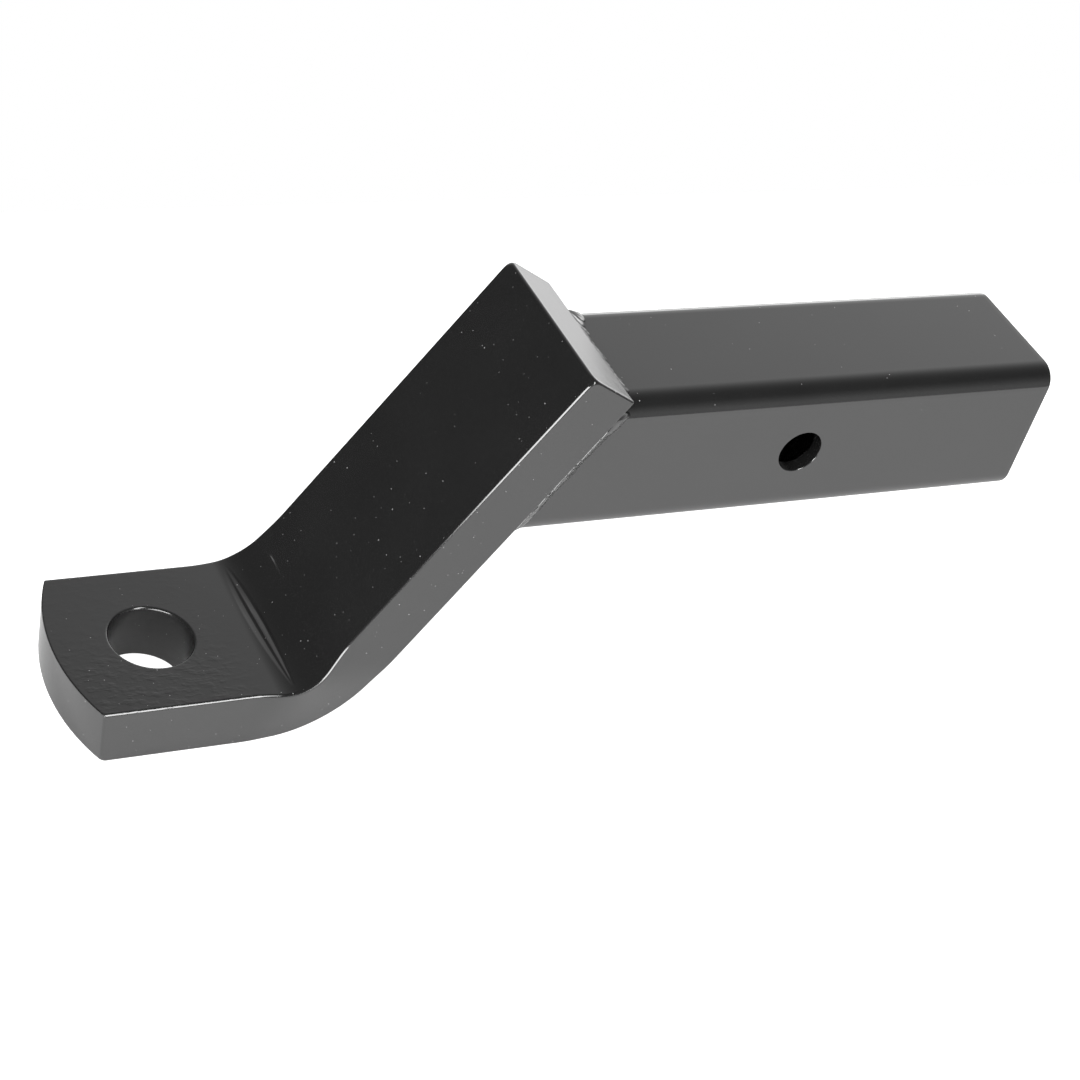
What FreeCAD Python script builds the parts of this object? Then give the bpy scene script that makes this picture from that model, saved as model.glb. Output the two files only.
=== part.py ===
import FreeCAD, Part
import math
import os
import Sketcher

# Drop ball mount for a square hitch receiver. A thick flat bar is bent once: its level end carries the
# hole for the ball, and its sloping leg is welded to the mitred end of a square tube, the shank.
# The origin is the centre of the hitch pin's hole. +X runs along the shank to its open end, +Y is left
# when looking along +X, and +Z is up.

os.makedirs("parts", exist_ok=True)
document = FreeCAD.newDocument("ball_mount")

# Driving dimensions, in millimetres and degrees: name, value, meaning
driving_sizes = [
    ("tube_side", "50.8", "outside width and height of the square shank"),
    ("tube_wall", "4.8", "wall of the shank"),
    ("tube_outer_radius", "7.0", "rounding of the shank's four long outer corners"),
    ("tube_inner_radius", "2.2", "rounding of the shank's four long inner corners"),
    ("pin_hole_radius", "8.0", "hole through both side walls, for a 5/8 in hitch pin"),
    ("pin_to_open_end", "94.8", "pin hole's centre to the shank's open end"),
    ("pin_to_ball", "200.5", "pin hole's centre to the ball hole's centre, along the shank"),
    ("drop", "101.6", "top of the shank down to the top of the ball platform"),
    ("bar_width", "62.0", "width of the flat bar"),
    ("bar_thickness", "20.0", "thickness of the flat bar"),
    ("ball_hole_radius", "13.5", "hole for a 1 in ball shank"),
    ("ball_to_tip_corner", "25.1", "ball hole's centre to the two corners of the tip"),
    ("tip_bow", "7.1", "how far the curved tip stands out past its two corners"),
    ("tip_setback", "1.6", "how far the tip's lower edge is behind its upper edge"),
    ("ball_to_knee", "40.8", "ball hole's centre to where the two upper faces would cross"),
    ("leg_angle", "60.0", "slope of the leg above the level platform"),
    ("knee_radius", "17.0", "inner radius of the bend"),
    ("knee_swell", "2.4", "how far each inner edge is pushed out by the bending, at most"),
    ("knee_waist", "1.4", "how far each outer edge is drawn in by the bending, at most"),
    ("swell_before", "7.0", "length of platform that the swelling reaches, ahead of the bend"),
    ("swell_after", "19.0", "length of leg that the swelling reaches, past the bend"),
    ("leg_over_tube", "5.0", "leg's rear end corner above the top of the shank"),
    ("weld_on_leg", "5.0", "width of a weld on the leg's rear face"),
    ("weld_on_tube", "8.0", "width of a weld along the shank"),
    ("weld_crown", "0.7", "how far a weld's face bulges"),
    ("weld_pitch", "4.4", "distance from one ripple of a weld to the next"),
    ("weld_ripple", "0.08", "share by which a weld is slimmer between two ripples"),
    ("weld_taper", "0.55", "size of a weld at its two ends, as a share of its full size"),
]

# Places that follow from the driving dimensions
derived_sizes = [
    ("tube_top", "=tube_side / 2", "height of the shank's top"),
    ("platform_top", "=tube_side / 2 - drop", "height of the platform's upper face"),
    ("knee_x", "=ball_to_knee - pin_to_ball", "where the upper faces of platform and leg would cross"),
    ("tangent_length", "=knee_radius * tan(leg_angle / 2)", "from that crossing to each end of the bend"),
    ("bend_x", "=knee_x - tangent_length", "start of the bend, and the place of its centre"),
    ("bend_z", "=platform_top + knee_radius", "height of the bend's centre"),
    ("middle_radius", "=knee_radius + bar_thickness / 2", "radius of the bar's middle line in the bend"),
    ("inner_arc", "=knee_radius * leg_angle * pi / 180", "length of the bend along its inner face"),
    ("swell_length", "=swell_before + inner_arc + swell_after", "length of the swelling"),
    ("leg_back_x", "=knee_x - platform_top / tan(leg_angle) + bar_thickness / sin(leg_angle)",
     "where the leg's rear face crosses the shank's middle line"),
    ("leg_end_z", "=tube_top + leg_over_tube + bar_thickness * cos(leg_angle)", "top corner of the leg"),
    ("leg_length", "=(leg_end_z - platform_top) / sin(leg_angle)",
     "length of the leg's upper face from the crossing to its end"),
    ("tip_radius", "=(bar_width ^ 2 / 4 + tip_bow ^ 2) / (2 * tip_bow)", "radius of the curved tip"),
    ("tip_x", "=-pin_to_ball - ball_to_tip_corner - tip_bow", "foremost point of the tip"),
    ("weld_run", "=tube_side - 2 * tube_outer_radius", "flat width of one side of the shank"),
]


def fill_sheet(rows):
    """Write the named sizes into the document's spreadsheet, one row each."""
    sheet = document.addObject("Spreadsheet::Sheet", "sizes")
    for row, (name, content, meaning) in enumerate(rows, start=1):
        sheet.set(f"A{row}", name)
        sheet.set(f"B{row}", content)
        sheet.setAlias(f"B{row}", name)
        sheet.set(f"C{row}", meaning)
    document.recompute()
    return sheet


sizes = fill_sheet(driving_sizes + derived_sizes)


def number(expression):
    """The present value of an expression on the sheet's sizes."""
    value = sizes.evalExpression(expression.replace("sizes.", ""))
    return float(getattr(value, "Value", value))


def add_body(name):
    """A new sub-part, whose label is its file's name."""
    body = document.addObject("PartDesign::Body", name)
    body.Label = name
    return body


def add_sketch(body, name, plane, places, tilt=None):
    """A sketch on one of the body's own origin planes, moved and tilted by expressions.

    places binds the offset's x, y and z, in the plane's own directions. tilt turns the sketch about its
    own x axis, so that its upper edge leans back.
    """
    sketch = body.newObject("Sketcher::SketchObject", name)
    support = [feature for feature in body.Origin.OriginFeatures if feature.Role == plane]
    sketch.AttachmentSupport = [(support[0], "")]
    sketch.MapMode = "FlatFace"
    if tilt:
        turn = FreeCAD.Rotation(FreeCAD.Vector(-1, 0, 0), number(tilt))
        sketch.AttachmentOffset = FreeCAD.Placement(FreeCAD.Vector(), turn)
        sketch.setExpression("AttachmentOffset.Rotation.Angle", tilt)
    for direction, place in places.items():
        sketch.setExpression(f"AttachmentOffset.Base.{direction}", place)
    return sketch


def bind(sketch, constraint, name, expression):
    """Add one dimension to a sketch and tie it to the sheet."""
    index = sketch.addConstraint(constraint)
    sketch.renameConstraint(index, name)
    sketch.setExpression(f"Constraints.{name}", expression)


def point(across, up):
    return FreeCAD.Vector(across, up, 0)


def draw_polygon(sketch, corners):
    """Closed outline of straight lines through the corners. Line i runs from corner i to corner i + 1."""
    count = len(corners)
    for i in range(count):
        sketch.addGeometry(Part.LineSegment(corners[i], corners[(i + 1) % count]))
    for i in range(count):
        sketch.addConstraint(Sketcher.Constraint("Coincident", i, 2, (i + 1) % count, 1))


def draw_rounded_square(sketch, side, radius, first=0):
    """Closed outline of a square about the sketch's origin, with four rounded corners.

    Lines and arcs alternate, counterclockwise from the bottom line, and first is that line's number.
    """
    half = number(side) / 2
    rounding = number(radius)
    flat = half - rounding
    quarter = math.pi / 2
    for i in range(4):
        turn = FreeCAD.Rotation(FreeCAD.Vector(0, 0, 1), 90 * i)
        start = turn.multVec(point(-flat, -half))
        end = turn.multVec(point(flat, -half))
        sketch.addGeometry(Part.LineSegment(start, end))
        circle = Part.Circle(turn.multVec(point(flat, -flat)), FreeCAD.Vector(0, 0, 1), rounding)
        sketch.addGeometry(Part.ArcOfCircle(circle, (i - 1) * quarter, i * quarter))
    bottom, right, top, left = range(first, first + 8, 2)
    for line in (bottom, right, top, left):
        following = bottom if line == left else line + 2
        sketch.addConstraint(Sketcher.Constraint("Tangent", line, 2, line + 1, 1))
        sketch.addConstraint(Sketcher.Constraint("Tangent", line + 1, 2, following, 1))
        if line != bottom:
            sketch.addConstraint(Sketcher.Constraint("Equal", bottom + 1, line + 1))
    for line in (bottom, top):
        sketch.addConstraint(Sketcher.Constraint("Horizontal", line))
    for line in (right, left):
        sketch.addConstraint(Sketcher.Constraint("Vertical", line))
    bind(sketch, Sketcher.Constraint("Radius", bottom + 1, rounding), f"rounding_{first}", radius)
    bind(sketch, Sketcher.Constraint("DistanceY", -1, 1, top, 1, half), f"above_{first}", f"{side} / 2")
    bind(sketch, Sketcher.Constraint("DistanceY", bottom, 1, -1, 1, half), f"below_{first}", f"{side} / 2")
    bind(sketch, Sketcher.Constraint("DistanceX", -1, 1, right, 1, half), f"right_{first}", f"{side} / 2")
    bind(sketch, Sketcher.Constraint("DistanceX", left, 1, -1, 1, half), f"left_{first}", f"{side} / 2")


def bar_section(body, name, along, height, tilt, distance):
    """One cross section of the flat bar, at a distance from the start of the swelling.

    along and height place the section's middle, and tilt turns it with the bend. The inner edges, on
    top, swell and the outer edges draw in, most halfway along the swelling.
    """
    sketch = add_sketch(body, name, "YZ_Plane", {"y": height, "z": along}, tilt)
    share = f"(1 - cos(360 * ({distance}) / sizes.swell_length)) / 2"
    upper_half = f"sizes.bar_width / 2 + sizes.knee_swell * {share}"
    lower_half = f"sizes.bar_width / 2 - sizes.knee_waist * {share}"
    top = number("bar_thickness") / 2
    upper = number(upper_half)
    lower = number(lower_half)
    draw_polygon(sketch, [point(-lower, -top), point(lower, -top), point(upper, top), point(-upper, top)])
    sketch.addConstraint(Sketcher.Constraint("Horizontal", 0))
    sketch.addConstraint(Sketcher.Constraint("Horizontal", 2))
    bind(sketch, Sketcher.Constraint("DistanceY", -1, 1, 2, 1, top), "above", "sizes.bar_thickness / 2")
    bind(sketch, Sketcher.Constraint("DistanceY", 0, 1, -1, 1, top), "below", "sizes.bar_thickness / 2")
    bind(sketch, Sketcher.Constraint("DistanceX", 0, 1, -1, 1, lower), "lower_left", lower_half)
    bind(sketch, Sketcher.Constraint("DistanceX", -1, 1, 0, 2, lower), "lower_right", lower_half)
    bind(sketch, Sketcher.Constraint("DistanceX", -1, 1, 2, 1, upper), "upper_right", upper_half)
    bind(sketch, Sketcher.Constraint("DistanceX", 2, 2, -1, 1, upper), "upper_left", upper_half)
    return sketch


def knee_sections(body):
    """The bar's cross sections from the level platform, round the bend and onto the leg."""
    sections = []
    platform_middle = "sizes.platform_top - sizes.bar_thickness / 2"
    for share in (0, 0.5):
        distance = f"sizes.swell_before * {share}"
        along = f"sizes.bend_x - sizes.swell_before + {distance}"
        name = f"section_{len(sections)}"
        sections.append(bar_section(body, name, along, platform_middle, None, distance))
    for share in (0, 0.25, 0.5, 0.75, 1):
        turn = f"(sizes.leg_angle * {share})"
        along = f"sizes.bend_x + sizes.middle_radius * sin({turn})"
        height = f"sizes.bend_z - sizes.middle_radius * cos({turn})"
        distance = f"sizes.swell_before + sizes.inner_arc * {share}"
        name = f"section_{len(sections)}"
        sections.append(bar_section(body, name, along, height, turn, distance))
    for step in (1, 2, 3):
        run = f"sizes.swell_after * {step} / 3"
        turn = "sizes.leg_angle"
        along = f"sizes.bend_x + sizes.middle_radius * sin({turn}) + {run} * cos({turn})"
        height = f"sizes.bend_z - sizes.middle_radius * cos({turn}) + {run} * sin({turn})"
        distance = f"sizes.swell_before + sizes.inner_arc + {run}"
        name = f"section_{len(sections)}"
        sections.append(bar_section(body, name, along, height, turn, distance))
    return sections


def ball_bar():
    """The flat bar: a level platform with a curved tip and the ball's hole, a knee, and a sloping leg."""
    body = add_body("ball_bar")
    sections = knee_sections(body)
    knee = body.newObject("PartDesign::AdditiveLoft", "knee")
    knee.Profile = sections[0]
    knee.Sections = sections[1:]
    document.recompute()

    platform = body.newObject("PartDesign::Pad", "platform")
    platform.Profile = sections[0]
    platform.Reversed = True
    platform.setExpression("Length", "sizes.bend_x - sizes.swell_before - sizes.tip_x + sizes.tip_bow")
    leg = body.newObject("PartDesign::Pad", "leg")
    leg.Profile = sections[-1]
    leg.setExpression("Length", "sizes.leg_length - sizes.tangent_length - sizes.swell_after")
    document.recompute()

    outline = add_sketch(body, "tip_outline", "XZ_Plane",
                         {"x": "sizes.tip_x + sizes.tip_radius", "y": "sizes.platform_top"})
    upper = number("sizes.tip_radius")
    lower = upper - number("sizes.tip_setback")
    outer = upper + number("sizes.bar_width")
    depth = number("sizes.bar_thickness")
    draw_polygon(outline, [point(-upper, 0), point(-outer, 0), point(-outer, -depth), point(-lower, -depth)])
    outline.addConstraint(Sketcher.Constraint("PointOnObject", 0, 1, -1))
    outline.addConstraint(Sketcher.Constraint("Horizontal", 0))
    outline.addConstraint(Sketcher.Constraint("Vertical", 1))
    outline.addConstraint(Sketcher.Constraint("Horizontal", 2))
    bind(outline, Sketcher.Constraint("DistanceX", 0, 1, -1, 1, upper), "upper_edge", "sizes.tip_radius")
    bind(outline, Sketcher.Constraint("DistanceX", 1, 1, -1, 1, outer), "outside",
         "sizes.tip_radius + sizes.bar_width")
    bind(outline, Sketcher.Constraint("DistanceX", 2, 2, -1, 1, lower), "lower_edge",
         "sizes.tip_radius - sizes.tip_setback")
    bind(outline, Sketcher.Constraint("DistanceY", 1, 2, 1, 1, depth), "depth", "sizes.bar_thickness")
    tip = body.newObject("PartDesign::Groove", "tip")
    tip.Profile = outline
    tip.ReferenceAxis = (outline, ["V_Axis"])
    tip.Angle = 180
    tip.Midplane = True
    document.recompute()

    place = add_sketch(body, "ball_hole_place", "XY_Plane", {"x": "-sizes.pin_to_ball"})
    circle = Part.Circle(point(0, 0), FreeCAD.Vector(0, 0, 1), number("sizes.ball_hole_radius"))
    place.addGeometry(circle)
    place.addConstraint(Sketcher.Constraint("Coincident", 0, 3, -1, 1))
    bind(place, Sketcher.Constraint("Radius", 0, circle.Radius), "radius", "sizes.ball_hole_radius")
    hole = body.newObject("PartDesign::Pocket", "ball_hole")
    hole.Profile = place
    hole.Type = "ThroughAll"
    document.recompute()
    return body


def shank_tube():
    """The square tube: mitred to the leg's rear face, cross-drilled for the hitch pin, open at its end."""
    body = add_body("shank_tube")
    section = add_sketch(body, "tube_section", "YZ_Plane", {"z": "sizes.leg_back_x - sizes.tube_side"})
    inside = "(sizes.tube_side - 2 * sizes.tube_wall)"
    draw_rounded_square(section, "sizes.tube_side", "sizes.tube_outer_radius")
    draw_rounded_square(section, inside, "sizes.tube_inner_radius", first=8)
    tube = body.newObject("PartDesign::Pad", "tube")
    tube.Profile = section
    tube.setExpression("Length", "sizes.pin_to_open_end - sizes.leg_back_x + sizes.tube_side")
    document.recompute()

    outline = add_sketch(body, "mitre_outline", "XZ_Plane", {"x": "sizes.leg_back_x"})
    reach = number("sizes.tube_side")
    lean = reach * number("1 / tan(leg_angle)")
    draw_polygon(outline, [point(-lean, -reach), point(lean, reach), point(-2 * reach, reach),
                           point(-2 * reach, -reach)])
    outline.addConstraint(Sketcher.Constraint("Horizontal", 1))
    outline.addConstraint(Sketcher.Constraint("Vertical", 2))
    outline.addConstraint(Sketcher.Constraint("Horizontal", 3))
    outline.addConstraint(Sketcher.Constraint("PointOnObject", -1, 1, 0))
    bind(outline, Sketcher.Constraint("Angle", 0, math.radians(number("leg_angle"))), "slope",
         "sizes.leg_angle")
    bind(outline, Sketcher.Constraint("DistanceY", -1, 1, 0, 2, reach), "above", "sizes.tube_side")
    bind(outline, Sketcher.Constraint("DistanceY", 0, 1, -1, 1, reach), "below", "sizes.tube_side")
    bind(outline, Sketcher.Constraint("DistanceX", 2, 1, -1, 1, 2 * reach), "ahead", "2 * sizes.tube_side")
    mitre = body.newObject("PartDesign::Pocket", "mitre")
    mitre.Profile = outline
    mitre.Type = "ThroughAll"
    mitre.Midplane = True
    document.recompute()

    place = add_sketch(body, "pin_hole_place", "XZ_Plane", {})
    circle = Part.Circle(point(0, 0), FreeCAD.Vector(0, 0, 1), number("sizes.pin_hole_radius"))
    place.addGeometry(circle)
    place.addConstraint(Sketcher.Constraint("Coincident", 0, 3, -1, 1))
    bind(place, Sketcher.Constraint("Radius", 0, circle.Radius), "radius", "sizes.pin_hole_radius")
    hole = body.newObject("PartDesign::Pocket", "pin_hole")
    hole.Profile = place
    hole.Type = "ThroughAll"
    hole.Midplane = True
    document.recompute()
    return body


def draw_weld_section(sketch, angles, widths, share):
    """Two straight sides from the sketch's origin, along angles and as long as widths, and a bulging arc."""
    first, second = (f"({width} * {share})" for width in widths)
    crown = f"(sizes.weld_crown * {share})"
    between = f"({angles[1]} - ({angles[0]}))"
    chord_squared = f"({first} ^ 2 + {second} ^ 2 - 2 * {first} * {second} * cos{between})"
    ends = []
    for angle, length in zip(angles, (first, second)):
        turn = FreeCAD.Rotation(FreeCAD.Vector(0, 0, 1), number(angle))
        ends.append(turn.multVec(point(number(length), 0)))
    middle = (ends[0] + ends[1]) / 2
    outward = (ends[1] - ends[0]).cross(FreeCAD.Vector(0, 0, 1)).normalize()
    arc = Part.Arc(ends[0], middle + outward * number(crown), ends[1])
    sketch.addGeometry(Part.LineSegment(point(0, 0), ends[0]))
    sketch.addGeometry(arc)
    sketch.addGeometry(Part.LineSegment(ends[1], point(0, 0)))
    sketch.addConstraint(Sketcher.Constraint("Coincident", 0, 1, -1, 1))
    sketch.addConstraint(Sketcher.Constraint("Coincident", 0, 2, 1, 1))
    sketch.addConstraint(Sketcher.Constraint("Coincident", 1, 2, 2, 1))
    sketch.addConstraint(Sketcher.Constraint("Coincident", 2, 2, -1, 1))
    bind(sketch, Sketcher.Constraint("Distance", 0, number(first)), "first_side", first)
    bind(sketch, Sketcher.Constraint("Distance", 2, number(second)), "second_side", second)
    bind(sketch, Sketcher.Constraint("Angle", 0, math.radians(number(angles[0]))), "first_angle", angles[0])
    bind(sketch, Sketcher.Constraint("Angle", 2, math.radians(number(angles[1]) + 180)), "second_angle",
         f"{angles[1]} + 180")
    radius = f"{chord_squared} / (8 * {crown}) + {crown} / 2"
    bind(sketch, Sketcher.Constraint("Radius", 1, number(radius)), "bulge", radius)


def weld(name, plane, corner, travel, angles, widths, run, tilt=None):
    """One fillet weld in the corner between the leg's rear face and one flat of the shank.

    It is lofted through sections along the corner: full at each ripple, slimmer between two ripples and
    small at both ends. corner is the middle of the run and travel its direction, both in the plane's own
    x, y and z. angles are the directions of the two joined faces, seen from the corner, and widths how far
    the weld reaches over each.
    """
    body = add_body(name)
    steps = 2 * max(2, round(number(run) / number("weld_pitch")))
    sections = []
    for step in range(steps + 1):
        if step in (0, steps):
            share = "sizes.weld_taper"
        elif step % 2:
            share = "1"
        else:
            share = "(1 - sizes.weld_ripple)"
        places = dict(corner)
        for direction, lean in travel.items():
            places[direction] = f"{corner.get(direction, '0')} + {run} * ({step} / {steps} - 0.5) * {lean}"
        sketch = add_sketch(body, f"{name}_section_{step}", plane, places, tilt)
        draw_weld_section(sketch, angles, widths, share)
        sections.append(sketch)
    bead = body.newObject("PartDesign::AdditiveLoft", f"{name}_bead")
    bead.Profile = sections[0]
    bead.Sections = sections[1:]
    bead.Ruled = True
    document.recompute()
    return body


def welds():
    """Four passes, one on each flat of the shank, which end where its rounded corners begin."""
    on_leg = "sizes.weld_on_leg"
    on_tube = "sizes.weld_on_tube"
    across = {"z": "1"}
    corner_lean = "sizes.tube_top / tan(sizes.leg_angle)"
    top = {"x": f"sizes.leg_back_x + {corner_lean}", "y": "sizes.tube_top"}
    bottom = {"x": f"sizes.leg_back_x - {corner_lean}", "y": "-sizes.tube_top"}
    up_the_leg = {"y": "sin(sizes.leg_angle)", "z": "cos(sizes.leg_angle)"}
    left = {"x": "sizes.tube_top", "z": "sizes.leg_back_x"}
    right = {"x": "-sizes.tube_top", "z": "sizes.leg_back_x"}
    leg = "sizes.leg_angle"
    flat = "sizes.weld_run"
    slope = "(sizes.weld_run / sin(sizes.leg_angle))"
    return [
        weld("top_weld", "XZ_Plane", top, across, ("0", leg), (on_tube, on_leg), flat),
        weld("bottom_weld", "XZ_Plane", bottom, across, (f"{leg} - 180", "0"), (on_leg, on_tube), flat),
        weld("left_weld", "YZ_Plane", left, up_the_leg, ("-90", "0"), (on_tube, on_leg), slope, leg),
        weld("right_weld", "YZ_Plane", right, up_the_leg, ("180", "270"), (on_leg, on_tube), slope, leg),
    ]


def check(body):
    """Stop unless every feature worked, every cut took something away, and one sound solid is left."""
    for feature in body.Group:
        if "Invalid" in feature.State or "Error" in feature.State:
            raise RuntimeError(f"{feature.Label} failed: {feature.State}")
        if feature.TypeId in ("PartDesign::Pocket", "PartDesign::Groove"):
            if feature.Shape.Volume >= feature.BaseFeature.Shape.Volume:
                raise RuntimeError(f"{feature.Label} cuts nothing")
    shape = body.Shape
    if shape.isNull() or not shape.isValid() or len(shape.Solids) != 1:
        raise RuntimeError(f"{body.Label} is not one valid solid")


sub_parts = [ball_bar(), shank_tube()] + welds()
document.recompute()
for sub_part in sub_parts:
    check(sub_part)
for sub_part in sub_parts:
    sub_part.Shape.exportStep(f"parts/{sub_part.Label}.step")
    print(sub_part.Label, round(sub_part.Shape.Volume, 1))
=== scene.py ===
"""Ball mount for a 2 in receiver, finished in gloss black powder coat, on a white table in a studio."""

import math

import bmesh
import bpy
from mathutils import Matrix, Vector
from mathutils.geometry import delaunay_2d_cdt


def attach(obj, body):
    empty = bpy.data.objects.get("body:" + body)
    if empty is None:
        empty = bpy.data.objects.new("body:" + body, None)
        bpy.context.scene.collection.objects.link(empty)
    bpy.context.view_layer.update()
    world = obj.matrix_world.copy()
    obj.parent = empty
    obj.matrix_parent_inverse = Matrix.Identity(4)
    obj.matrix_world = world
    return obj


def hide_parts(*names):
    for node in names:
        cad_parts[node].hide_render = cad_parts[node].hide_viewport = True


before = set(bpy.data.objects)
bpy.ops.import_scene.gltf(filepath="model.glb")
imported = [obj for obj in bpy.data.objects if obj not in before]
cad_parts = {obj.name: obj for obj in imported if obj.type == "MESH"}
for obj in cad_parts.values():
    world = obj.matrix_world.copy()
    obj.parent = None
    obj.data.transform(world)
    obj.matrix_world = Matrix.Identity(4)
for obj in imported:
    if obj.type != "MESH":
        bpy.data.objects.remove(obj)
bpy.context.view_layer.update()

# Flat bar
# A 62 x 20 mm flat steel bar. Its front end is cropped to a shallow curve and the ball's hole is drilled
# through it flat, then it is heated and pressed round a former, which pushes its inner edges out at the
# knee and leaves the former's mark across the crease. Sizes are in millimetres, and studio places in metres.

bar_width = 62.0
bar_thickness = 20.0
platform_top = -76.2
leg_angle = math.radians(60)
leg_end_height = 40.4

# The hole for the ball, with its rounded upper and lower rim
ball_hole_x = -200.5
ball_hole_radius = 13.5
ball_hole_lip = 0.8
ball_hole_foot_lip = 0.6

# The knee: where the two upper faces would cross, the former's radius, how far the inner edges are pressed
# out and the outer ones drawn in, how far along the bar that reaches, the far edge's share of it, and how
# far from the middle that share is reached
knee_x = -159.7
knee_radius = 17.0
knee_swell = 2.4
knee_waist = 1.4
swell_before = 9.0
swell_after = 12.5
far_swell = 0.65
far_swell_run = 5.0

# The curved tip, whose lower edge is a little behind its upper edge
tip_x = -232.7
tip_bow = 7.1
tip_setback = 1.6
tip_radius = (bar_width**2 / 4 + tip_bow**2) / (2 * tip_bow)

# Rounding of the upper and lower edges along the sides, at the tip and at the leg's end
edge_round = 1.0
edge_foot_round = 0.8
tip_edge_round = 0.45
tip_foot_round = 1.6
end_edge_round = 1.2
end_foot_round = 0.9

# Rounding of the upright corners: the leg's are rounder near the upper face, and the tip's near the lower
end_corner_round = 0.7
end_corner_top_round = 3.8
end_corner_top_depth = 3.2
tip_corner_round = 1.2
tip_corner_foot_round = 3.2
tip_corner_foot_height = 4.5

# The former's two marks: far end along and across the flat bar, near end, half width and slope. Each has two
# dents side by side, the first one flatter, and each dent ends in a steep step. The last two values are
# powers that set where a dent is widest and how blunt its two ends are
former_marks = (
    (-166.2, 28.5, -163.75, -27.8, 2.7, 0.38),
    (-152.1, 25.0, -151.3, 11.0, 1.0, 0.16),
)
first_dent_share = 0.55
step_share = 0.26
fade_share = 1 / 2.4
dent_skew = 0.85
dent_bluntness = 0.7

# Spacing of the mesh: beside a rounded edge, along the straight parts, at the mark, in the bend and across
narrow_row = 0.25
straight_step = 1.25
mark_step = 0.25
bend_step = 0.5
across_step = 1.2

# How far the flat faces' inner points keep from the sides, the tip, the leg's end and the ball hole
rim_clear = 2.6
tip_clear = 3.4
end_clear = 5.5
hole_clear = 2.0

# Parts of the mesh round the ball hole, round an edge, down a side, across the leg's end and round a lip,
# and the gap within which two points become one
ball_ring_points = 120
edge_steps = 6
side_steps = 14
end_steps = 50
lip_steps = 5
merge_gap = 0.002

bend_start = knee_x - knee_radius * math.tan(leg_angle / 2)
bend_run = knee_radius * leg_angle
leg_length = (leg_end_height - platform_top) / math.sin(leg_angle)
leg_run = leg_length - knee_radius * math.tan(leg_angle / 2)
blank_end = bend_start + bend_run + leg_run


def spread(first, last, step):
    """Evenly spaced values from first to last, close to a step apart."""
    count = max(1, round(abs(last - first) / step))
    return [first + (last - first) * k / count for k in range(count + 1)]


def quarter_turn(steps):
    """Angles from 0 to 90 degrees in even steps."""
    return [math.radians(90 * k / steps) for k in range(steps + 1)]


def edge_rows(top_round, foot_round):
    """Inset and height of each row of points down the bar's edge, from the upper face to the lower."""
    quarter = quarter_turn(edge_steps)
    rows = [(top_round + narrow_row, 0.0)]
    rows += [(top_round * (1 - math.sin(a)), -top_round * (1 - math.cos(a))) for a in quarter]
    first = -top_round - narrow_row
    last = -bar_thickness + foot_round + narrow_row
    rows += [(0.0, first + (last - first) * k / side_steps) for k in range(side_steps + 1)]
    for a in quarter:
        rows.append((foot_round * (1 - math.cos(a)), -bar_thickness + foot_round * (1 - math.sin(a))))
    rows.append((foot_round + narrow_row, -bar_thickness))
    return rows


def former_mark(along, across):
    """How deep the former's edge has dented the upper face at a place on the flat bar. The dents fade at
    their far end and narrow to a point at both ends."""
    depth = 0.0
    for x0, y0, x1, y1, widest, steep in former_marks:
        share = (across - y0) / (y1 - y0)
        if 0 < share < 1:
            off = along - (x0 + (x1 - x0) * share)
            half = widest * math.sin(math.pi * share**dent_skew) ** dent_bluntness
            step = step_share * half
            into = off % half
            slope = steep * min(share / fade_share, 1.0) * (first_dent_share if off < 0 else 1.0)
            if abs(off) < half:
                drop = slope * (half - step)
                depth += min(slope * into, drop * (half - into) / step)
    return depth


def row_outline(side, tip, end, columns, tip_steps=48, corner_steps=6):
    """One row of points round the blank. side, tip and end are each an inset and a height."""
    lean = tip_setback * -tip[1] / bar_thickness
    reach = tip_radius - lean - tip[0]
    middle = tip_x + tip_radius
    half = bar_width / 2 - side[0]
    top_share = max(1 + end[1] / end_corner_top_depth, 0.0) ** 2
    end_wanted = end_corner_round + (end_corner_top_round - end_corner_round) * top_share
    foot_share = max(1 - (bar_thickness + tip[1]) / tip_corner_foot_height, 0.0) ** 2
    tip_wanted = tip_corner_round + (tip_corner_foot_round - tip_corner_round) * foot_share
    tip_corner = max(tip_wanted - (side[0] + tip[0]) / 2, 0.0)
    end_corner = max(end_wanted - (side[0] + end[0]) / 2, 0.0)
    corner_y = half - tip_corner
    corner_x = middle - math.sqrt((reach - tip_corner) ** 2 - corner_y**2)
    tip_turn = math.asin(corner_y / (reach - tip_corner))
    stop = blank_end - end[0]
    near = []
    for share in columns:
        near.append((corner_x + (stop - end_corner - corner_x) * share, -half, side[1]))
    for k in range(1, corner_steps):
        turn = math.radians(90 * k / corner_steps)
        height = side[1] + (end[1] - side[1]) * k / corner_steps
        x = stop - end_corner * (1 - math.sin(turn))
        near.append((x, -half + end_corner * (1 - math.cos(turn)), height))
    end_line = [(stop, y, end[1]) for y in end_places(half - end_corner)]
    far = [(x, -y, h) for x, y, h in reversed(near)]
    tip_line = []
    for k in range(1, corner_steps):
        turn = math.radians(90) - (math.radians(90) - tip_turn) * k / corner_steps
        height = side[1] + (tip[1] - side[1]) * k / corner_steps
        x = corner_x - tip_corner * math.cos(turn)
        tip_line.append((x, corner_y + tip_corner * math.sin(turn), height))
    for k in range(tip_steps + 1):
        turn = tip_turn * (1 - 2 * k / tip_steps)
        tip_line.append((middle - reach * math.cos(turn), reach * math.sin(turn), tip[1]))
    tip_line += [(x, -y, h) for x, y, h in reversed(tip_line[: corner_steps - 1])]
    return near + end_line + far + tip_line


def end_places(half):
    """The same number of places across the leg's end in every row."""
    return [half * (2 * k / end_steps - 1) for k in range(end_steps + 1)]


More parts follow.
